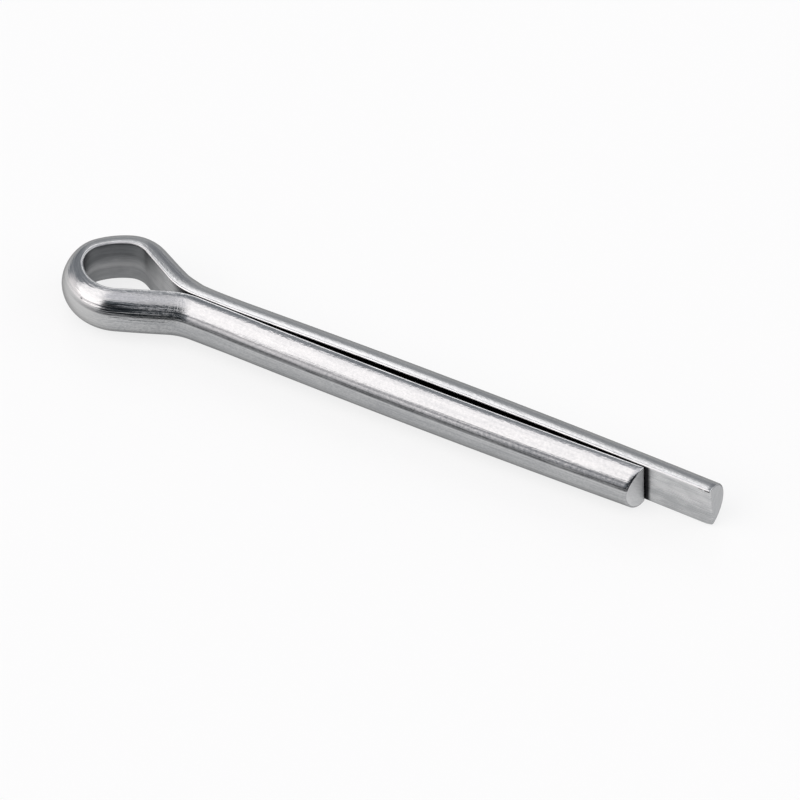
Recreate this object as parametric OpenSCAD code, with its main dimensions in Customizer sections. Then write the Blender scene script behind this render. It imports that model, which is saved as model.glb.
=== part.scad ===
// Split cotter pin: one length of half-round wire, folded with its flat inside.
// It lies on its side. The shank's axis is the X axis, and the eye opens along Z.

/* [Wire] */
// Diameter of the wire's round side
wire_d = 4.5; // [4:0.1:5]
// How far each sharp edge of the flat is broken back
edge_break = 0.15; // [0.05:0.05:0.3]

/* [Legs] */
// Short leg, from the neck to the far edge of its end
short_leg = 40.5; // [32:0.5:60]
// How far the long leg reaches past the short one
leg_step = 5.9; // [2:0.1:8]
// Straight stretch next to the neck, where the legs lie together
closed_run = 2.5; // [1:0.1:4]
// Gap between the flats along that stretch
slit = 0.08; // [0.04:0.02:0.2]
// Radius of the bend where the legs part
part_r = 100; // [80:5:120]
// Angle at which each leg leaves the shank's axis
part_turn = 1.12; // [1:0.02:1.2]
// Radius of each leg's bow, back towards the axis
bow_r = 950; // [900:10:1100]
// Slant of the short leg's end from a square cut
end_slant = 23; // [5:1:30]

/* [Eye, on the long leg's side] */
// Radius of the neck, at the flat
long_neck_r = 7.5; // [6.5:0.1:8.5]
// Angle that the neck turns away from the shank
long_neck_turn = 31.5; // [30:0.5:33]
// Radius of the shoulder, where the wall turns over
shoulder_r = 1.8; // [1.5:0.1:2.2]
// Angle of the shoulder
shoulder_turn = 48.5; // [45:0.5:52]
// Radius of the flatter back, from the shoulder to the eye's end
back_r = 6; // [5:0.1:7]
// Angle of the back
back_turn = 26; // [23:0.5:29]

/* [Eye, on the short leg's side] */
// Radius of the eye's end
end_r = 1.75; // [1.5:0.05:2.2]
// Radius of the belly, from the eye's end to the wall
belly_r = 3; // [2.6:0.1:3.4]
// Angle of the belly
belly_turn = 78.5; // [75:0.5:82]
// Radius of the neck, at the flat
short_neck_r = 6.5; // [5.5:0.1:7.5]
// Angle that the neck turns away from the shank
short_neck_turn = 23.5; // [22:0.5:25]
// Slight turn along each of the eye's two long walls
wall_turn = 2; // [1:0.5:3]

/* [Hidden] */

section_steps = 96;
bend_steps = 12;
// Step to which the first part of a move is rounded
move_step = 0.01;

long_leg = short_leg + leg_step;
flat_h = wire_d / 2 - edge_break;
spare = wire_d / 4;

// The fold, from the long leg round the eye to the short leg: positive turns close round the flat
end_turn = 180 + long_neck_turn + short_neck_turn
    - 2 * wall_turn - shoulder_turn - back_turn - belly_turn;
turns = [
    -long_neck_turn, wall_turn, shoulder_turn, back_turn,
    end_turn, belly_turn, wall_turn, -short_neck_turn
];
function heading(i) = i == 0 ? 180 : heading(i - 1) + turns[i - 1];

// How far a bend of radius 1 takes the wire
function reach(turn, from) =
    sign(turn) * [sin(from + turn) - sin(from), cos(from) - cos(from + turn)];
reaches = [for (i = [0 : len(turns) - 1]) reach(turns[i], heading(i))];

// The two walls' radii take up what the other bends leave, so that both legs start at the same X
rest = [0, -slit]
    - long_neck_r * reaches[0] - shoulder_r * reaches[2] - back_r * reaches[3]
    - end_r * reaches[4] - belly_r * reaches[5] - short_neck_r * reaches[7];
function cross2(a, b) = a[0] * b[1] - a[1] * b[0];
long_wall_r = cross2(rest, reaches[6]) / cross2(reaches[1], reaches[6]);
short_wall_r = cross2(reaches[1], rest) / cross2(reaches[1], reaches[6]);
radii = [long_neck_r, long_wall_r, shoulder_r, back_r, end_r, belly_r, short_wall_r, short_neck_r];
function start(i) = i == 0 ? [0, slit / 2] : start(i - 1) + radii[i - 1] * reaches[i - 1];

// Turn of the bow that brings a leg to its length along the axis
function bow_turn(length) =
    part_turn - asin(sin(part_turn) - (length - closed_run - part_r * sin(part_turn)) / bow_r);

// The half-round section: its flat lies on x = 0 and its round side faces +x
module section() {
    intersection() {
        circle(d = wire_d, $fn = section_steps);
        polygon([
            [0, -flat_h],
            [0, flat_h],
            [wire_d, flat_h + wire_d],
            [wire_d, -flat_h - wire_d]
        ]);
    }
}

// Moves in two steps, a round one and the rest, so that the place keeps all its digits
module move(p) {
    near = [for (v = p) round(v / move_step) * move_step];
    translate(near)
        translate(p - near)
            children();
}

// One bend of wire from a point, with its flat to the left of the way it heads
module bend(from, heading, turn, r) {
    side = sign(turn);
    centre = from + side * r * [-sin(heading), cos(heading)];
    first = heading - side * 90;
    move(centre)
        rotate_extrude(
            start = min(first, first + turn),
            angle = abs(turn),
            $fn = ceil(360 / abs(turn) * bend_steps)
        )
            move([r, 0])
                rotate(side > 0 ? 0 : 180)
                    section();
}

module fold() {
    for (i = [0 : len(turns) - 1])
        bend(start(i), heading(i), turns[i], radii[i]);
}

// A leg from the origin along +X, with its round side towards -Y
module leg(length) {
    rotate([90, 0, 90])
        linear_extrude(height = closed_run)
            rotate(180)
                section();
    bend([closed_run, 0], 0, -part_turn, part_r);
    bend([closed_run, 0] + part_r * reach(-part_turn, 0), -part_turn, bow_turn(length), bow_r);
}

// The short leg's end is cut back towards its round side
module short_leg_cut() {
    difference() {
        leg(short_leg + spare);
        translate([short_leg, 0, 0])
            rotate([0, 0, -end_slant])
                translate([0, -2 * wire_d, -wire_d])
                    cube([wire_d, 3 * wire_d, 2 * wire_d]);
    }
}

module cotter_pin() {
    color([0.48, 0.48, 0.49]) {
        translate([0, slit / 2, 0])
            mirror([0, 1, 0])
                leg(long_leg);
        fold();
        move(start(len(turns)))
            short_leg_cut();
    }
}

cotter_pin();
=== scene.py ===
"""Dressed model of a split cotter pin: half-round steel wire, folded into an eye and two legs."""

import math

import bpy
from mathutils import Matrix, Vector


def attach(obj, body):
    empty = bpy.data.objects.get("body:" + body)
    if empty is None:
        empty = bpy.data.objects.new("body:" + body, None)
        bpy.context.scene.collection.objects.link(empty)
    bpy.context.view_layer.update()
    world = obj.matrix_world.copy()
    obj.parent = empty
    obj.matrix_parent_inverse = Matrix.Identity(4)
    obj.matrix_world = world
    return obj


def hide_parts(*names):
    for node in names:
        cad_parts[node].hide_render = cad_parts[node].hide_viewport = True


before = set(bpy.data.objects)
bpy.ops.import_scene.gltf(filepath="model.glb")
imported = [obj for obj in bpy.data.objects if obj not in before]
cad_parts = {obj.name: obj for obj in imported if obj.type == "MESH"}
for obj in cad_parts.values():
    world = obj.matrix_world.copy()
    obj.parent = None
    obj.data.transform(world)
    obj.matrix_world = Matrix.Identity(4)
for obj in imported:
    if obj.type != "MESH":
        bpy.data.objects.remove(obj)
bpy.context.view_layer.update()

MM = 0.001

# Shapes below are in millimetres and degrees

# Wire
WIRE_R = 2.22
EDGE_R = 0.16
# The flat's edges are rounder by this much round the eye
EYE_EDGE = 0.05
# Least rounding of the flat's edges, on the rims of the sheared ends
LEAST_EDGE_R = 0.02

# Legs
SHORT_LEG = 40.45
LONG_LEG = 46.4
CLOSED_RUN = 2.5
SLIT = 0.05
PART_R = 100.0
LONG_PART_TURN = 1.16
SHORT_PART_TURN = 1.08
BOW_R = 900.0

# Eye, from the long leg round to the short one, as bends of turn and radius along the flat
LONG_NECK = (-30.0, 5.5)
SHOULDER = (49.5, 1.81)
BACK = (26.0, 5.79)
EYE_END = (78.3, 1.80)
BELLY = (78.7, 2.89)
SHORT_NECK = (-22.5, 6.69)
# Where the long leg's neck begins, along the shank; the short leg's begins at 0
LONG_NECK_X = -0.5
# Heading of the wire where it comes along the shank into the eye
NECK_HEADING = 180.0

# Both legs are turned together about the shank by a slight twist of the neck
TWIST = 2.3
TWIST_FROM = -2.0
TWIST_TO = 7.0

# Sheared ends: rounding of their rims, and the stretch of wire over which their shape fades in
RIM_R = 0.15
END_REACH = 2 * WIRE_R
SHORT_END_SLANT = 20.0
# The short leg's end is squarer below: share of the slant lost there, and height to where it is whole
SQUARE_SHARE = 0.7
SQUARE_CUT = 3.2
# Lean of the long leg's end, whose lower side reaches further, and the level that stays in place
TIP_LEAN = 0.06
LEAN_LEVEL = 0.5
# The long leg's tip is rounded off below: share of its height, and stretch of wire
TIP_LIFT = 0.1
TIP_ROUND = 0.8

# The bent wire is thinner where it was stretched round the eye, most of all at the far end
THIN_BEND = 0.11
THIN_X = -10.0
THIN_REACH = 3.7
THIN_END = 0.12
# Bending pressed the wire thicker in the hollow of the long leg's neck
SWELL = 0.09
SWELL_PAST = 1.4
SWELL_REACH = 1.7
# Bending round the eye pushed the flat's edges up into a low lip
LIP = 0.05
LIP_FADE = 0.35
LIP_X = -8.5
LIP_REACH = 4.0

# Mesh density
LEG_STEP = 0.5
BEND_STEP_DEG = 3.0
LEAST_STEPS = 2
ARC_STEPS = 56
FILLET_STEPS = 6
FLAT_STEPS = 16
RIM_STEPS = 5
CAP_RINGS = 10
SHARP_DEG = 40.0

# Material slots of the wire's faces
ROUND, FLAT, END = range(3)

# Metal's tint at grazing angles
GRAZING_TINT = (0.45, 0.45, 0.45, 1)

# Noise is given as its grain per millimetre along and across the wire, and its detail
# A span of noise is the part of its values over which a look goes from one result to another
# A stretch of wire is given as two marks, each with how far past it the stretch ends, and its softness
# A band is given as its lower and upper angle above the nose of the round side, and its softness

# Most values of any noise, and the middle of them
NOISE_SPAN = (0.3, 0.7)
NOISE_MIDDLE = 0.5

# Round side: noise
DRAW_BANDS = (0.03, 1.4, 1.0)
DRAW_LINES = (0.06, 4.5, 2.0)
DRAW_HAIRS = (0.2, 9.0, 2.0)
DRAW_GRAIN = (2.5, 6.0, 2.0)
DRAW_SPECKS = (4.0, 6.0, 2.0)
DRAW_CLOUDS = (0.3, 2.0, 2.0)

# Round side: relief on the legs and in the eye, and angles over which the lines fade towards the edges
BAND_RELIEF = (0.02, 0.03)
LINE_RELIEF = (0.012, 0.026)
HAIR_RELIEF = (0.009, 0.012)
GRAIN_RELIEF = (0.011, 0.012)
LINES_FADE = (45.0, 68.0)
LINES_LEFT = 0.2
# Single die lines: angle above the nose, half width and depth
DIE_LINES = ((38.0, 0.07, 0.007), (-12.0, 0.06, 0.005), (-41.0, 0.07, 0.006))

# Round side: steel, streaked between two tones
DULL_STEEL = (0.33, 0.337, 0.347, 1)
BRIGHT_STEEL = (0.458, 0.462, 0.466, 1)
STEEL_SPAN = (0.33, 0.67)
LINE_TONE = 0.35
HAIR_TONE = 0.3
SPECK_TONE = 0.35
CLOUD_TONE = 0.04
# The grain shows more on the lower side of the eye
EYE_STRETCH = (("long_neck", 2.0), ("short_neck", -2.0), 2.5)
LOWER_SIDE = (8.0, 24.0)
EYE_GRAIN = 1.2
# The upper shoulder of the round side is rubbed smoother, towards one tone
CALM_BAND = (44.0, 76.0, 5.0)
CALM_SHARE = 0.3
CALM_TONE = 0.54

# Round side: die lines that keep drawing soap, and rubbed ones: angle, half width and strength
SOAP = (0.06, 0.062, 0.065, 1)
SOAP_LINES = ((25.4, 0.09, 0.9), (29.4, 0.08, 0.8), (27.4, 0.17, 0.5), (41.0, 0.06, 0.3))
RUBBED_LINE = (0.64, 0.64, 0.645, 1)
RUBBED_LINES = ((20.6, 0.04, 0.5), (35.8, 0.07, 0.5))
LINE_BREAKS = (0.35, 6.0, 2.0)
BREAK_SPAN = (0.35, 0.6)
BREAK_LEFT = (0.55, 1.0)
SPECK_LEFT = (0.75, 1.05)
# The bending tool took them off the eye's far end and rubbed it; that end's steel is painted brighter,
# partly rubbed wear and partly painted light on its reflections
CLEAN_STRETCH = (("far_end", -4.0), ("far_end", 4.0), 2.0)
RUBBED_AND_LIT_STRETCH = (("far_end", -1.5), ("far_end", 4.5), 1.5)
RUBBED_AND_LIT_FADE = (38.0, 64.0)
RUBBED_AND_LIT_SHARE = 0.8
RUBBED_AND_LIT_STEEL = (0.58, 0.578, 0.576, 1)

# Round side: marks of the tools, and a painted shadow under a burr
TOOL_MARK_AND_SHADOW_BLACK = (0.035, 0.036, 0.039, 1)
# Painted shadow under a burr on the upper edge of the short leg's end
BURR_SHADOW_FADE = (0.03, 0.1)
BURR_SHADOW_BAND = (27.0, 66.0, 6.0)
# A smear at the start of the eye's near wall, past the far end
SMEAR_START = (4.35, 4.6)
SMEAR_STOP = (5.0, 7.5)
SMEAR_BAND = (32.0, 49.0, 2.5)
SMEAR_STREAKS = (0.5, 8.0, 2.0)
SMEAR_SPAN = (0.38, 0.58)
SMEAR_LEFT = (0.95, 0.35)
# A pit beside it: place past the far end and angle, with the half width of each
PIT_PAST = (3.27, 0.06)
PIT_ANGLE = (37.5, 1.6)
# Scores along the near wall
SCORED_STRETCH = (("far_end", 4.0), ("short_neck", -1.5), 1.5)
SCORED_BAND = (10.0, 43.0, 6.0)
SCORES = (0.15, 6.5, 1.0)
SCORE_RELIEF = 0.042
# The near wall is roughened towards the neck, and creased across at the neck
CRAZED_STRETCH = (("short_neck", -5.0), ("short_neck", -1.2), 1.3)
CRAZED_RELIEF = 0.016
CRAZED_SPAN = (0.35, 0.65)
CRAZED_ROUGHNESS = (0.06, 0.24)
CREASED_STRETCH = (("short_neck", -4.0), ("short_neck", -0.9), 0.8)
CREASES = (5.0, 1.2, 2.0)
CREASE_RELIEF = 0.011

# Round side: roughness, and how much the worn lines add on the legs and in the eye
HAIR_ROUGHNESS = (0.1, 0.16)
WORN_SPAN = (0.45, 0.7)
WORN_ROUGHNESS = (0.05, 0.18)

# Flat side: noise, relief and steel
ROLL_BANDS = (0.06, 1.0, 1.0)
ROLL_LINES = (0.12, 4.0, 2.0)
ROLL_HAIRS = (0.5, 12.0, 3.0)
ROLL_CLOUDS = (0.7, 1.2, 2.0)
ROLL_BAND_RELIEF = 0.03
ROLL_LINE_RELIEF = 0.012
ROLL_HAIR_RELIEF = 0.004
ROLL_ROUGHNESS = (0.22, 0.38)
DULL_FLAT = (0.42, 0.427, 0.435, 1)
BRIGHT_FLAT = (0.63, 0.632, 0.636, 1)
FLAT_SPAN = (0.38, 0.62)
ROLL_LINE_TONE = 0.3
ROLL_HAIR_TONE = 0.35
ROLL_CLOUD_TONE = 0.35
# Painted light: it is a little brighter in its upper half: heights, and what is added at each
PAINTED_LIGHT_HEIGHTS = (-0.9, 0.6)
PAINTED_LIGHT_TONE = (-0.06, 0.05)
# Painted shade inside the eye, from past the long neck to before the short one, with a painted
# reflection over it: a pale band and a darker upper part
EYE_SHADE_START = (1.2, 8.4)
EYE_SHADE_STOP = (-5.0, -1.0)
DARK_EYE_SHADE = (0.16, 0.166, 0.172, 1)
PALE_EYE_SHADE = (0.38, 0.382, 0.388, 1)
EYE_SHADE_SPAN = (0.35, 0.65)
EYE_SHADE_TONE = (0.25, 0.6)
REFLECTED_BAND_HEIGHTS = (-0.65, -0.1, 0.2)
SHADED_TOP_HEIGHTS = (0.0, 0.7)
PAINTED_BANDS_TONE = 0.4
EYE_SHADE_EDGE = (0.01, 0.05)
EYE_SHADE_DULL = 0.18
# Painted shade in the slit between the legs, reaching a little past the short leg's tip onto the long
# leg's flat as a painted shadow; the shade stops at the flat's edges
OPEN_STRETCH = (("long_neck", 1.5), ("short_neck", -1.5), 1.5)
SLIT_STOP = (-0.55, -0.2)
SLIT_EDGE = (0.0, 0.05)
PAINTED_SHADE_BLACK = (0.03, 0.03, 0.032, 1)
# Painted shadow of two dents that shearing left in the flat's upper edge at the long leg's tip; the
# dents have no relief
FIRST_DENT_SHADOW = (0.08, 0.55, 0.05)
SECOND_DENT_SHADOW = (0.7, 1.1, 0.1)
SECOND_DENT_SHADOW_TONE = 0.7
DENT_SHADOW_HEIGHTS = (2.05, 2.14, 0.03)

# Sheared ends: torn at a tilt, over a fine grain
TEAR_TILT = 35.0
TEARS = (1.0, 6.0, 1.2)
TEAR_RELIEF = 0.02
END_GRAIN = 8.0
END_GRAIN_RELIEF = 0.008
END_DETAIL = 3.0
END_NOISE_ROUGHNESS = 0.6
END_ROUGHNESS = (0.35, 0.5)
DULL_END = (0.54, 0.547, 0.557, 1)
PALE_END = (0.7, 0.703, 0.71, 1)
TEAR_TONE = 0.5
# Painted light: the short end is painted paler than the long one
LONG_END_TONE = 0.1
SHORT_END_TONE = 0.45

# Floor
FLOOR_HALF = 2.0
FLOOR_DROP = 0.004
FLOOR_COLOUR = (0.9, 0.9, 0.9, 1)
FLOOR_ROUGHNESS = 0.8
FLOOR_WHITE = (1, 1, 1, 1)
FLOOR_WHITE_SHARE = 0.78

# Camera, fitted to the photograph's frame of 800 x 800
VIEW_AZIMUTH = 26.5
VIEW_ELEVATION = 49.78
VIEW_DISTANCE = 980.65
VIEW_RIGHT = 16.412
VIEW_UP = -7.037
LENS = 540.0
SENSOR = 36.0
CLIP_START = 0.01
CLIP_END = 20

# Light, as radiance in linear red, green and blue
AMBIENT = (0.4, 0.42, 0.45, 1)
# Patches by bearing and by rise: each span has a low edge, its softness, a high edge and its softness
LEFT_WALL = ((1.3, 1.25, 1.26, 1), (0, 10, 74, 3), (-90, 1, 34, 6))
LOW_BACK = ((0.68, 0.69, 0.71, 1), (-115, 10, -45, 8), (-90, 1, 45, 6))
DARK_BACK = ((0.44, 0.45, 0.48, 1), (-115, 10, -76.5, 3), (3, 4, 27, 5))
DIM_FRONT = ((0.05, 0.06, 0.07, 1), (82, 5, 166, 3), (0, 1, 56, 4))
BACK_PANEL = ((2.55, 2.5, 2.5, 1), (-73, 5, -48, 6), (26, 9, 53, 5))
RIGHT_FILL = ((1.7, 1.7, 1.7, 1), (-8, 3, 60, 8), (8, 5, 42, 6))
# A patch by its place along X and Y on a ceiling at height 1
CEILING = ((1.25, 1.23, 1.28, 1), (-0.3, 0.1, 1.2, 0.1), (-0.45, 0.08, 0.2, 0.06))
LEAST_HEIGHT = 0.001
# The softbox lies askew on that ceiling: two directions across its edges, and where its edges lie
KEY = (2.38, 2.29, 2.27, 1)
KEY_ACROSS = (0.965, -0.26)
KEY_DOWN = (-0.35, 0.94)
KEY_LEFT = (-1.55, -1.25)
KEY_RIGHT = (-0.3, -0.1)
KEY_DEPTH = (-1.3, 0.06, 0.176, 0.02)

# Sockets of Blender's colour mix: the share, the two colours and the result
MIX_INPUTS = (0, 6, 7)
MIX_RESULT = 2


def unit(heading):
    """Direction in plan at a heading."""
    a = math.radians(heading)
    return Vector((math.cos(a), math.sin(a)))


def right_of(heading):
    """Direction to the right of a heading: the wire's round side."""
    d = unit(heading)
    return Vector((d.y, -d.x))


def bend_reach(heading, turn, radius):
    """How far a bend takes the wire in plan."""
    side = math.copysign(1.0, turn)
    return (right_of(heading) - right_of(heading + turn)) * -side * radius


def bow_turn(length, part_turn):
    """Turn of the bow that brings a leg to its length along the shank."""
    lean = math.radians(part_turn)
    run = length - CLOSED_RUN - PART_R * math.sin(lean)
    return part_turn - math.degrees(math.asin(math.sin(lean) - run / BOW_R))


def wall_lengths(bends):
    """Lengths of the eye's two straight walls that bring the fold back to the slit."""
    heading = NECK_HEADING
    gone = Vector((0.0, 0.0))
    headings = []
    for turn, radius in bends:
        gone += bend_reach(heading, turn, radius)
        heading += turn
        headings.append(heading)
    long_way = unit(headings[0])
    short_way = unit(headings[-2])
    rest = Vector((-LONG_NECK_X, -SLIT)) - gone
    across = long_way.cross(short_way)
    return rest.cross(short_way) / across, long_way.cross(rest) / across


def wire_steps():
    """The wire from the long leg's tip to the short leg's tip, as (turn, radius) or (0, length)."""
    fold = [LONG_NECK, SHOULDER, BACK, EYE_END, BELLY, SHORT_NECK]
    long_wall, short_wall = wall_lengths(fold)
    long_bow = (bow_turn(LONG_LEG, LONG_PART_TURN), BOW_R)
    short_bow = (bow_turn(SHORT_LEG, SHORT_PART_TURN), BOW_R)
    long_side = [long_bow, (-LONG_PART_TURN, PART_R), (0.0, CLOSED_RUN - LONG_NECK_X)]
    short_side = [(0.0, CLOSED_RUN), (-SHORT_PART_TURN, PART_R), short_bow]
    eye = fold[:1] + [(0.0, long_wall)] + fold[1:-1] + [(0.0, short_wall)] + fold[-1:]
    return long_side, eye, short_side


def step_length(turn, size):
    return abs(math.radians(turn)) * size if turn else size


def run_length(steps):
    return sum(step_length(*step) for step in steps)


def wire_marks():
    """Places along the wire, as distances from the long leg's tip."""
    long_side, eye, short_side = wire_steps()
    long_neck = run_length(long_side)
    short_neck = long_neck + run_length(eye)
    short_run = run_length(short_side)
    to_end = run_length(eye[:eye.index(EYE_END)]) + step_length(*EYE_END) / 2
    return {
        # On the long leg, beside the short leg's tip
        "short_tip": long_neck + LONG_NECK_X - short_run,
        "long_neck": long_neck,
        "far_end": long_neck + to_end,
        "short_neck": short_neck,
        "end": short_neck + short_run,
    }


def wire_stations():
    """Stations along the wire: place on the flat in plan, heading, and distance from its start."""
    long_side, eye, short_side = wire_steps()
    heading = NECK_HEADING - sum(turn for turn, _ in long_side)
    place = Vector((0.0, 0.0))
    along = 0.0
    stations = [(place, heading, along)]
    neck = None
    for number, (turn, size) in enumerate(long_side + eye + short_side):
        length = step_length(turn, size)
        by_length = math.ceil(length / LEG_STEP)
        by_turn = math.ceil(abs(turn) / BEND_STEP_DEG)
        count = max(LEAST_STEPS, by_length, by_turn)
        start = place
        for k in range(1, count + 1):
            share = k / count
            if turn:
                place = start + bend_reach(heading, turn * share, size)
            else:
                place = start + unit(heading) * size * share
            stations.append((place, heading + turn * share, along + length * share))
        heading += turn
        along += length
        if number == len(long_side) - 1:
            neck = place
    shift = Vector((LONG_NECK_X, SLIT / 2)) - neck
    return [(place + shift, heading, along) for place, heading, along in stations]


def wire_section(inset=0.0, edge_r=EDGE_R):
    """Outline of the half-round section, drawn in by an inset, as (out, up) from the flat's middle."""
    radius = WIRE_R - inset
    edge = max(edge_r - inset, LEAST_EDGE_R)
    centre = inset + edge
    rise = math.sqrt((radius - edge) ** 2 - centre ** 2)
    meet = math.atan2(rise, centre)
    upper = [(inset, rise * k / FLAT_STEPS) for k in range(FLAT_STEPS)]
    for k in range(FILLET_STEPS):
        angle = math.pi + (meet - math.pi) * k / FILLET_STEPS
        upper.append((centre + edge * math.cos(angle), rise + edge * math.sin(angle)))
    for k in range(ARC_STEPS):
        angle = meet * (1 - k / ARC_STEPS)
        upper.append((radius * math.cos(angle), radius * math.sin(angle)))
    nose = (radius, 0.0)
    lower = [(out, -up) for out, up in upper[:0:-1]]
    return upper + [nose] + lower


def rim_rings(station, way):
    """Rings that round a sheared end's rim, from its face inwards; way is 1 or -1 along the wire."""
    place, heading, along = station
    rings = []
    for k in range(RIM_STEPS, -1, -1):
        angle = math.radians(90 * k / RIM_STEPS)
        gap = RIM_R * (1 - math.sin(angle)) * way
        inset = RIM_R * (1 - math.cos(angle))
        rings.append((place + unit(heading) * gap, heading, along + gap, inset))
    return rings


def wire_rings():
    """The stations with an inset each, and with rings that round the rim of both sheared ends."""
    stations = wire_stations()
    last = stations[-1][2]
    clear = 2 * RIM_R
    inner = [(*s, 0.0) for s in stations if clear < s[2] < last - clear]
    return rim_rings(stations[0], 1) + inner + rim_rings(stations[-1], -1)[::-1]


def smooth_step(share):
    share = min(1.0, max(0.0, share))
    return share * share * (3 - 2 * share)


def twisted(x, y, z):
    """A point after the twist of the neck."""
    angle = math.radians(TWIST * smooth_step((x - TWIST_FROM) / (TWIST_TO - TWIST_FROM)))
    cos = math.cos(angle)
    sin = math.sin(angle)
    return Vector((x, y * cos - z * sin, y * sin + z * cos))


def ring_shape(place, heading, along, marks):
    """Radius of the flat's edges at a ring, and the function that puts a point of the section there."""
    outward = right_of(heading)
    ahead = unit(heading)
    thin = 1 - THIN_BEND * math.exp(-((place.x - THIN_X) / THIN_REACH) ** 2)
    thin -= THIN_END * max(0.0, -outward.x) ** 4
    thin += SWELL * math.exp(-((along - marks["long_neck"] - SWELL_PAST) / SWELL_REACH) ** 2)
    round_eye = math.exp(-((place.x - LIP_X) / LIP_REACH) ** 4)
    lip = LIP / WIRE_R * round_eye
    near_end = max(0.0, 1 - (marks["end"] - along) / END_REACH)
    near_tip = max(0.0, 1 - along / END_REACH)
    lift = 1 - TIP_LIFT * max(0.0, 1 - along / TIP_ROUND) ** 2
    slant = math.tan(math.radians(SHORT_END_SLANT)) * near_end

    def put(out, up):
        """The point's place in metres, and its coordinates on the wire: along, out and up."""
        slant_left = 1 - SQUARE_SHARE * max(0.0, 1 - (up + WIRE_R) / SQUARE_CUT) ** 2
        back = -out * slant * slant_left
        lean = TIP_LEAN * (up - LEAN_LEVEL) * near_tip
        spot = place + outward * out * thin + ahead * (back + lean)
        high = up * (1 + lip * math.exp(-out / LIP_FADE))
        if up < 0:
            high *= lift
        return twisted(spot.x, spot.y, high) * MM, (along + back, out, up)

    return EDGE_R + EYE_EDGE * round_eye, put


def cap(points, rim, put, flip):
    """Closes a sheared end with rings that shrink to its middle."""
    faces = []
    count = len(rim)
    edge = [points[i][1][1:] for i in rim]
    middle = sum(out for out, _ in edge) / count
    outer = rim
    for ring in range(1, CAP_RINGS):
        left = 1 - ring / CAP_RINGS
        inner = range(len(points), len(points) + count)
        points += [put(middle + (out - middle) * left, up * left) for out, up in edge]
        for k in range(count):
            n = (k + 1) % count
            quad = (outer[n], outer[k], inner[k], inner[n])
            faces.append(quad[::-1] if flip else quad)
        outer = inner
    tip = len(points)
    points.append(put(middle, 0.0))
    for k in range(count):
        tri = (outer[(k + 1) % count], outer[k], tip)
        faces.append(tri[::-1] if flip else tri)
    return faces


def build_wire(marks):
    """The wire's points, faces and their materials: a sweep along the rings, with a cap on each end."""
    rings = wire_rings()
    count = len(wire_section())
    points = []
    puts = []
    for place, heading, along, inset in rings:
        edge_r, put = ring_shape(place, heading, along, marks)
        points += [put(out, up) for out, up in wire_section(inset, edge_r)]
        puts.append(put)
    faces = []
    kinds = []
    for i in range(len(rings) - 1):
        for k in range(count):
            a = i * count + k
            b = i * count + (k + 1) % count
            faces.append((a, b, b + count, a + count))
            kinds.append(FLAT if min(k, count - 1 - k) < FLAT_STEPS + FILLET_STEPS else ROUND)
    faces += cap(points, range(count), puts[0], False)
    faces += cap(points, range((len(rings) - 1) * count, len(rings) * count), puts[-1], True)
    kinds += [END] * (len(faces) - len(kinds))
    return points, faces, kinds


def add_mesh(name, verts, faces):
    mesh = bpy.data.meshes.new(name)
    mesh.from_pydata(verts, [], faces)
    obj = bpy.data.objects.new(name, mesh)
    bpy.context.scene.collection.objects.link(obj)
    return obj


def add_pin(marks):
    points, faces, kinds = build_wire(marks)
    pin = add_mesh("folded_wire", [vert for vert, _ in points], faces)
    mesh = pin.data
    mesh.shade_smooth()
    mesh.set_sharp_from_angle(angle=math.radians(SHARP_DEG))
    mesh.polygons.foreach_set("material_index", kinds)
    field = mesh.attributes.new("wire", "FLOAT_VECTOR", "POINT")
    field.data.foreach_set("vector", [c for _, spot in points for c in spot])
    return pin


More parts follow.
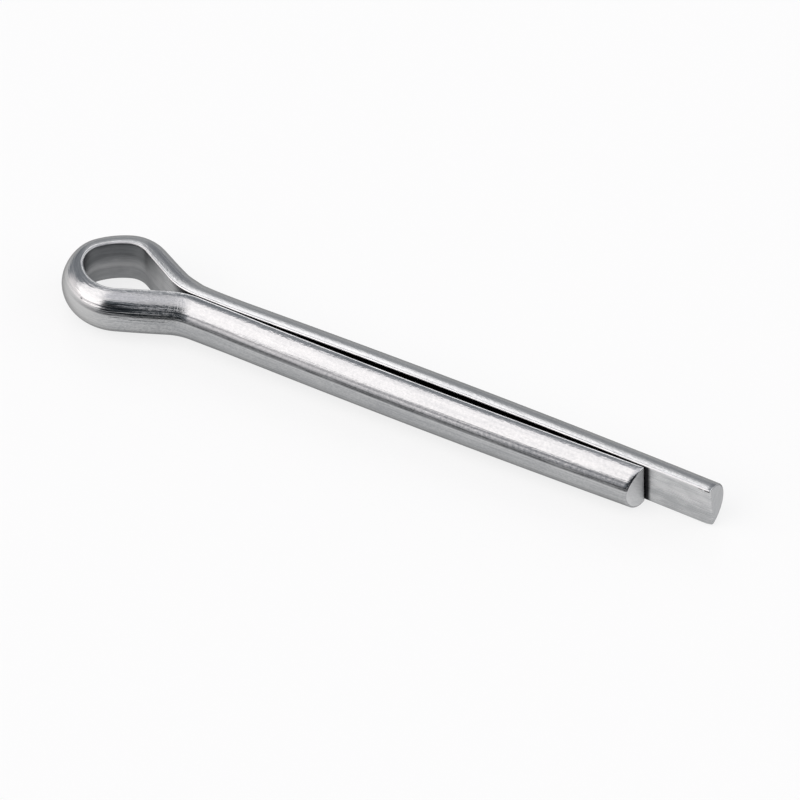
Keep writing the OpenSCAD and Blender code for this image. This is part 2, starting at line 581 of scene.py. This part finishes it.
class Nodes:
    """Short ways to add shader nodes to a tree."""

    def __init__(self, tree):
        self.tree = tree

    def add(self, kind, **settings):
        node = self.tree.nodes.new(kind)
        for name, value in settings.items():
            setattr(node, name, value)
        return node

    def feed(self, socket, value):
        """Links a socket to a value's output, or sets it."""
        if isinstance(value, bpy.types.NodeSocket):
            self.tree.links.new(value, socket)
        else:
            socket.default_value = value

    def math(self, operation, *values):
        node = self.add("ShaderNodeMath", operation=operation)
        for socket, value in zip(node.inputs, values):
            self.feed(socket, value)
        return node.outputs[0]

    def chain(self, operation, values):
        """One operation over several values in turn."""
        total = values[0]
        for value in values[1:]:
            total = self.math(operation, total, value)
        return total

    def plus(self, *values):
        return self.chain("ADD", values)

    def times(self, *values):
        return self.chain("MULTIPLY", values)

    def most(self, *values):
        return self.chain("MAXIMUM", values)

    def less(self, value, taken):
        return self.math("SUBTRACT", value, taken)

    def angle(self, y, x):
        """Angle in degrees from X towards Y."""
        return self.math("DEGREES", self.math("ARCTAN2", y, x))

    def ramp(self, value, low, high, to_low=0.0, to_high=1.0):
        """A smooth step from one result to another as a value goes from low to high."""
        node = self.add("ShaderNodeMapRange", interpolation_type="SMOOTHSTEP")
        for socket, v in zip(node.inputs, (value, low, high, to_low, to_high)):
            self.feed(socket, v)
        return node.outputs[0]

    def fall(self, value, low, high):
        return self.ramp(value, low, high, 1.0, 0.0)

    def span(self, value, low, low_soft, high, high_soft):
        """One inside a span of values, with an edge of its own softness on each side."""
        rise = self.ramp(value, low - low_soft, low + low_soft)
        fall = self.fall(value, high - high_soft, high + high_soft)
        return self.times(rise, fall)

    def between(self, value, low, high, soft):
        """One inside a span of values, with soft edges."""
        return self.span(value, low, soft, high, soft)

    def bell(self, value, middle, half_width):
        """One at the middle, falling off on both sides."""
        off = self.math("DIVIDE", self.less(value, middle), half_width)
        return self.math("EXPONENT", self.times(off, off, -1.0))

    def mix(self, share, a, b):
        node = self.add("ShaderNodeMix", data_type="RGBA")
        for number, value in zip(MIX_INPUTS, (share, a, b)):
            self.feed(node.inputs[number], value)
        return node.outputs[MIX_RESULT]

    def parts(self, vector):
        """The three axes of a vector."""
        node = self.add("ShaderNodeSeparateXYZ")
        self.feed(node.inputs[0], vector)
        return node.outputs

    def noise(self, vector, stretch, detail, roughness=0.5):
        """Noise over a vector whose axes are stretched by a factor each."""
        scaled = self.add("ShaderNodeVectorMath", operation="MULTIPLY")
        self.feed(scaled.inputs[0], vector)
        scaled.inputs[1].default_value = stretch
        node = self.add("ShaderNodeTexNoise")
        self.feed(node.inputs["Vector"], scaled.outputs[0])
        node.inputs["Scale"].default_value = 1.0
        node.inputs["Detail"].default_value = detail
        node.inputs["Roughness"].default_value = roughness
        return node.outputs["Fac"]

    def relief(self, heights):
        """Normal of a surface with heights in millimetres, added up."""
        bump = self.add("ShaderNodeBump")
        bump.inputs["Strength"].default_value = 1.0
        bump.inputs["Distance"].default_value = MM
        self.feed(bump.inputs["Height"], self.plus(*heights))
        return bump.outputs["Normal"]


class WireSide:
    """Shader values over the wire, from its coordinates along it, out of the flat and up."""

    def __init__(self, n, marks):
        self.n = n
        self.marks = marks
        self.place = n.add("ShaderNodeAttribute", attribute_name="wire").outputs["Vector"]
        self.along, self.out, self.up = n.parts(self.place)

    def noise(self, along, across, detail, roughness=0.5):
        return self.n.noise(self.place, (along, across, across), detail, roughness)

    def past(self, mark, places):
        """Places along the wire, given as how far past a mark they are."""
        return [self.marks[mark] + place for place in places]

    def stretch(self, first, last, soft):
        """One on a stretch of wire between two marks, each with how far past it the stretch ends."""
        (start, start_past), (stop, stop_past) = first, last
        low = self.marks[start] + start_past
        high = self.marks[stop] + stop_past
        return self.n.between(self.along, low, high, soft)


class RoundSide(WireSide):
    """Bright round side: die lines run along the wire, with short scratches and marks of bending."""

    def __init__(self, n, marks):
        super().__init__(n, marks)
        self.angle = n.angle(self.up, self.out)
        self.off_nose = n.math("ABSOLUTE", self.angle)
        self.lines = self.noise(*DRAW_LINES)
        self.hairs = self.noise(*DRAW_HAIRS)
        self.grain = self.noise(*DRAW_GRAIN)
        self.specks = self.noise(*DRAW_SPECKS)
        self.in_eye = self.stretch(*EYE_STRETCH)
        self.crazed = self.stretch(*CRAZED_STRETCH)

    def band(self, low, high, soft):
        """One in a band of angles along the wire."""
        return self.n.between(self.angle, low, high, soft)

    def line(self, angle, half_width):
        """One on a line along the wire, falling off on both sides."""
        return self.n.bell(self.angle, angle, math.degrees(half_width / WIRE_R))

    def legs_to_eye(self, on_legs, in_eye):
        """A value that goes from one on the legs to another in the eye."""
        return self.n.ramp(self.in_eye, 0.0, 1.0, on_legs, in_eye)

    def shade(self):
        """Share of the way from the dull steel to the bright."""
        n = self.n
        clouds = n.ramp(self.noise(*DRAW_CLOUDS), *NOISE_SPAN, -CLOUD_TONE, CLOUD_TONE)
        lines = n.times(self.lines, LINE_TONE)
        hairs = n.times(self.hairs, HAIR_TONE)
        shade = n.plus(lines, hairs, n.times(self.specks, SPECK_TONE), clouds)
        low = n.fall(self.angle, *LOWER_SIDE)
        contrast = n.less(shade, NOISE_MIDDLE)
        shade = n.plus(shade, n.times(contrast, self.in_eye, low, EYE_GRAIN))
        calm = n.times(self.band(*CALM_BAND), CALM_SHARE)
        return n.plus(shade, n.times(n.less(CALM_TONE, shade), calm))

    def colour(self):
        n = self.n
        colour = n.mix(n.ramp(self.shade(), *STEEL_SPAN), DULL_STEEL, BRIGHT_STEEL)
        # Painted light on the eye's far end, on steel the bending tool rubbed
        rubbed_and_lit = n.times(self.stretch(*RUBBED_AND_LIT_STRETCH), n.fall(self.off_nose, *RUBBED_AND_LIT_FADE))
        colour = n.mix(n.times(rubbed_and_lit, RUBBED_AND_LIT_SHARE), colour, RUBBED_AND_LIT_STEEL)
        # Soap and rubbing show in broken streaks
        broken = n.ramp(self.noise(*LINE_BREAKS), *BREAK_SPAN, *BREAK_LEFT)
        specked = n.ramp(self.specks, *BREAK_SPAN, *SPECK_LEFT)
        kept = n.times(broken, specked, n.less(1.0, self.stretch(*CLEAN_STRETCH)))
        for lines, tint in ((SOAP_LINES, SOAP), (RUBBED_LINES, RUBBED_LINE)):
            for angle, half_width, strength in lines:
                colour = n.mix(n.times(self.line(angle, half_width), strength, kept), colour, tint)
        # Painted shadow under the burr, with the smear and the pit
        return n.mix(n.most(self.burr_shadow(), self.smear(), self.pit()), colour, TOOL_MARK_AND_SHADOW_BLACK)

    def burr_shadow(self):
        n = self.n
        # Painted shadow: a dark line along the burr at the short leg's end
        slant = n.times(self.out, math.tan(math.radians(SHORT_END_SLANT)))
        to_end = n.less(self.marks["end"], n.plus(self.along, slant))
        return n.times(n.fall(to_end, *BURR_SHADOW_FADE), self.band(*BURR_SHADOW_BAND))

    def smear(self):
        n = self.n
        start = n.ramp(self.along, *self.past("far_end", SMEAR_START))
        stop = n.fall(self.along, *self.past("far_end", SMEAR_STOP))
        streaks = n.ramp(self.noise(*SMEAR_STREAKS), *SMEAR_SPAN, *SMEAR_LEFT)
        return n.times(start, stop, self.band(*SMEAR_BAND), streaks)

    def pit(self):
        n = self.n
        past, half_width = PIT_PAST
        return n.times(n.bell(self.along, self.marks["far_end"] + past, half_width),
                       n.bell(self.angle, *PIT_ANGLE))

    def roughness(self):
        n = self.n
        worn = n.times(n.ramp(self.lines, *WORN_SPAN), self.legs_to_eye(*WORN_ROUGHNESS))
        crazing = n.times(self.crazed, n.ramp(self.grain, *CRAZED_SPAN, *CRAZED_ROUGHNESS))
        return n.plus(n.ramp(self.hairs, *NOISE_SPAN, *HAIR_ROUGHNESS), n.plus(worn, crazing))

    def heights(self):
        n = self.n
        bands = self.noise(*DRAW_BANDS)
        faded = n.ramp(self.off_nose, *LINES_FADE, 1.0, LINES_LEFT)
        along_wire = ((bands, BAND_RELIEF), (self.lines, LINE_RELIEF), (self.hairs, HAIR_RELIEF))
        heights = [n.times(noise, self.legs_to_eye(*relief), faded) for noise, relief in along_wire]
        heights.append(n.times(self.grain, self.legs_to_eye(*GRAIN_RELIEF)))
        heights.append(n.times(self.specks, self.crazed, CRAZED_RELIEF))
        heights.append(n.times(self.noise(*CREASES), self.stretch(*CREASED_STRETCH), CREASE_RELIEF))
        for angle, half_width, depth in DIE_LINES:
            heights.append(n.times(self.line(angle, half_width), -depth))
        scored = n.times(self.stretch(*SCORED_STRETCH), self.band(*SCORED_BAND))
        heights.append(n.times(self.noise(*SCORES), scored, SCORE_RELIEF))
        return heights


class FlatSide(WireSide):
    """Flat side: duller, scratched along the wire, with painted shade in the eye and inside the slit.
    """

    def __init__(self, n, marks):
        super().__init__(n, marks)
        self.lines = self.noise(*ROLL_LINES)
        self.hairs = self.noise(*ROLL_HAIRS)
        # Where shade is painted inside the eye
        start = n.ramp(self.along, *self.past("long_neck", EYE_SHADE_START))
        stop = n.fall(self.along, *self.past("short_neck", EYE_SHADE_STOP))
        self.painted_eye_shade = n.times(start, stop)

    def colour(self):
        n = self.n
        hairs = n.times(self.hairs, ROLL_HAIR_TONE)
        clouds = n.times(self.noise(*ROLL_CLOUDS), ROLL_CLOUD_TONE)
        shade = n.plus(hairs, clouds, n.times(self.lines, ROLL_LINE_TONE))
        # Painted light: brighter in the flat's upper half
        lit = n.plus(shade, n.ramp(self.up, *PAINTED_LIGHT_HEIGHTS, *PAINTED_LIGHT_TONE))
        colour = n.mix(n.ramp(lit, *FLAT_SPAN), DULL_FLAT, BRIGHT_FLAT)
        # Painted reflection in the eye: a pale band, with a darker upper part
        painted_bands = n.less(n.between(self.up, *REFLECTED_BAND_HEIGHTS), n.ramp(self.up, *SHADED_TOP_HEIGHTS))
        tone = n.plus(n.ramp(shade, *EYE_SHADE_SPAN, *EYE_SHADE_TONE), n.times(painted_bands, PAINTED_BANDS_TONE))
        eye_shade_colour = n.mix(tone, DARK_EYE_SHADE, PALE_EYE_SHADE)
        # Painted shade inside the eye, kept off the flat's edges
        colour = n.mix(n.times(self.painted_eye_shade, n.fall(self.out, *EYE_SHADE_EDGE)), colour, eye_shade_colour)
        # Painted shade: the slit, the shadow past the short leg's tip and the dents
        return n.mix(n.most(self.slit(), self.dent_shadows()), colour, PAINTED_SHADE_BLACK)

    def slit(self):
        n = self.n
        legs = n.less(1.0, self.stretch(*OPEN_STRETCH))
        # The painted shadow reaches a little past the short leg's tip
        covered = n.ramp(self.along, *self.past("short_tip", SLIT_STOP))
        return n.times(legs, n.fall(self.out, *SLIT_EDGE), covered)

    def dent_shadows(self):
        n = self.n
        # Painted shadows of the two dents
        first = n.between(self.along, *FIRST_DENT_SHADOW)
        second = n.times(n.between(self.along, *SECOND_DENT_SHADOW), SECOND_DENT_SHADOW_TONE)
        return n.times(n.plus(first, second), n.between(self.up, *DENT_SHADOW_HEIGHTS))

    def roughness(self):
        n = self.n
        # The flat is rougher where the eye's shade is painted
        return n.plus(n.ramp(self.lines, *NOISE_SPAN, *ROLL_ROUGHNESS), n.times(self.painted_eye_shade, EYE_SHADE_DULL))

    def heights(self):
        n = self.n
        return [
            n.times(self.noise(*ROLL_BANDS), ROLL_BAND_RELIEF),
            n.times(self.lines, ROLL_LINE_RELIEF),
            n.times(self.hairs, ROLL_HAIR_RELIEF),
        ]


class ShearedEnd(WireSide):
    """Sheared ends: bare and dull, with a torn grain."""

    def __init__(self, n, marks):
        super().__init__(n, marks)
        turned = n.add("ShaderNodeVectorRotate", rotation_type="X_AXIS")
        n.feed(turned.inputs["Vector"], self.place)
        turned.inputs["Angle"].default_value = math.radians(TEAR_TILT)
        self.tears = n.noise(turned.outputs[0], TEARS, END_DETAIL, END_NOISE_ROUGHNESS)
        self.grain = self.noise(END_GRAIN, END_GRAIN, END_DETAIL, END_NOISE_ROUGHNESS)

    def colour(self):
        n = self.n
        torn = n.times(n.ramp(self.tears, *NOISE_SPAN), TEAR_TONE)
        # Painted light: the short end paler than the long one
        painted_light_by_end = n.ramp(self.along, self.marks["long_neck"], self.marks["short_neck"],
                           LONG_END_TONE, SHORT_END_TONE)
        return n.mix(n.plus(torn, painted_light_by_end), DULL_END, PALE_END)

    def roughness(self):
        return self.n.ramp(self.grain, *NOISE_SPAN, *END_ROUGHNESS)

    def heights(self):
        n = self.n
        return [n.times(self.tears, TEAR_RELIEF), n.times(self.grain, END_GRAIN_RELIEF)]


def new_material(name):
    material = bpy.data.materials.new(name)
    material.use_nodes = True
    return material, Nodes(material.node_tree), material.node_tree.nodes["Principled BSDF"]


def steel(name, side_class, marks):
    """Bare steel with the look of one side of the wire."""
    material, n, shader = new_material(name)
    side = side_class(n, marks)
    shader.inputs["Metallic"].default_value = 1.0
    shader.inputs["Specular Tint"].default_value = GRAZING_TINT
    n.feed(shader.inputs["Base Color"], side.colour())
    n.feed(shader.inputs["Roughness"], side.roughness())
    n.feed(shader.inputs["Normal"], n.relief(side.heights()))
    return material


def add_floor(level):
    """Pale floor: the camera and the metal see part of it as white, and the rest takes shadow."""
    s = FLOOR_HALF
    corners = [(-s, -s, level), (s, -s, level), (s, s, level), (-s, s, level)]
    floor = add_mesh("floor", corners, [(0, 1, 2, 3)])
    material, n, shader = new_material("pale_floor")
    shader.inputs["Base Color"].default_value = FLOOR_COLOUR
    shader.inputs["Roughness"].default_value = FLOOR_ROUGHNESS
    path = n.add("ShaderNodeLightPath").outputs
    seen = n.most(path["Is Camera Ray"], path["Is Glossy Ray"], path["Is Transmission Ray"])
    glow = n.add("ShaderNodeEmission")
    glow.inputs["Color"].default_value = FLOOR_WHITE
    glow.inputs["Strength"].default_value = 1.0
    both = n.add("ShaderNodeMixShader")
    n.feed(both.inputs[0], n.times(seen, FLOOR_WHITE_SHARE))
    n.feed(both.inputs[1], shader.outputs[0])
    n.feed(both.inputs[2], glow.outputs[0])
    n.feed(material.node_tree.nodes["Material Output"].inputs["Surface"], both.outputs[0])
    floor.data.materials.append(material)


def add_camera():
    a = math.radians(VIEW_AZIMUTH)
    e = math.radians(VIEW_ELEVATION)
    right = Vector((math.cos(a), math.sin(a), 0))
    back = Vector((math.sin(a) * math.cos(e), -math.cos(a) * math.cos(e), math.sin(e)))
    up = back.cross(right)
    data = bpy.data.cameras.new("camera")
    data.lens = LENS
    data.sensor_width = SENSOR
    data.clip_start = CLIP_START
    data.clip_end = CLIP_END
    camera = bpy.data.objects.new("camera", data)
    camera.location = (right * VIEW_RIGHT + up * VIEW_UP + back * VIEW_DISTANCE) * MM
    camera.rotation_mode = "QUATERNION"
    camera.rotation_quaternion = back.to_track_quat("Z", "Y")
    bpy.context.scene.collection.objects.link(camera)
    bpy.context.scene.camera = camera


def set_world():
    """Soft studio light: a large softbox overhead to the left, a panel behind, and a dim front."""
    world = bpy.data.worlds.new("studio")
    bpy.context.scene.world = world
    world.use_nodes = True
    n = Nodes(world.node_tree)
    x, y, z = n.parts(n.add("ShaderNodeTexCoord").outputs["Generated"])
    height = n.most(z, LEAST_HEIGHT)
    over_x = n.math("DIVIDE", x, height)
    over_y = n.math("DIVIDE", y, height)
    rise = n.math("DEGREES", n.math("ARCSINE", z))
    # Bearing from the left, turning to the front; it wraps on the right
    bearing = n.angle(n.times(y, -1.0), n.times(x, -1.0))
    # Bearing from the right, turning to the back
    far_bearing = n.angle(y, x)

    def lay(under, patch, first, second):
        """A colour with a patch of light laid over it."""
        light, first_span, second_span = patch
        return n.mix(n.times(n.span(first, *first_span), n.span(second, *second_span)), under, light)

    def over(way):
        """Distance in one direction on the ceiling."""
        return n.plus(n.times(over_x, way[0]), n.times(over_y, way[1]))

    colour = AMBIENT
    for patch in (LEFT_WALL, LOW_BACK, DARK_BACK, DIM_FRONT):
        colour = lay(colour, patch, bearing, rise)
    colour = lay(colour, CEILING, over_x, over_y)
    sides = n.times(n.ramp(over(KEY_ACROSS), *KEY_LEFT), n.fall(over_x, *KEY_RIGHT))
    colour = n.mix(n.times(sides, n.span(over(KEY_DOWN), *KEY_DEPTH)), colour, KEY)
    colour = lay(colour, BACK_PANEL, bearing, rise)
    colour = lay(colour, RIGHT_FILL, far_bearing, rise)
    background = world.node_tree.nodes["Background"]
    n.feed(background.inputs["Color"], colour)
    background.inputs["Strength"].default_value = 1.0


marks = wire_marks()
pin = add_pin(marks)
# In the order of the material slots
sides = (("drawn_steel", RoundSide), ("rolled_steel", FlatSide), ("sheared_steel", ShearedEnd))
for name, side_class in sides:
    pin.data.materials.append(steel(name, side_class, marks))
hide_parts("cotter_pin")
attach(pin, "root")

lowest = min(v.co.z for v in pin.data.vertices)
add_floor(lowest - FLOOR_DROP * MM)
add_camera()
set_world()
bpy.context.scene.view_settings.view_transform = "Standard"
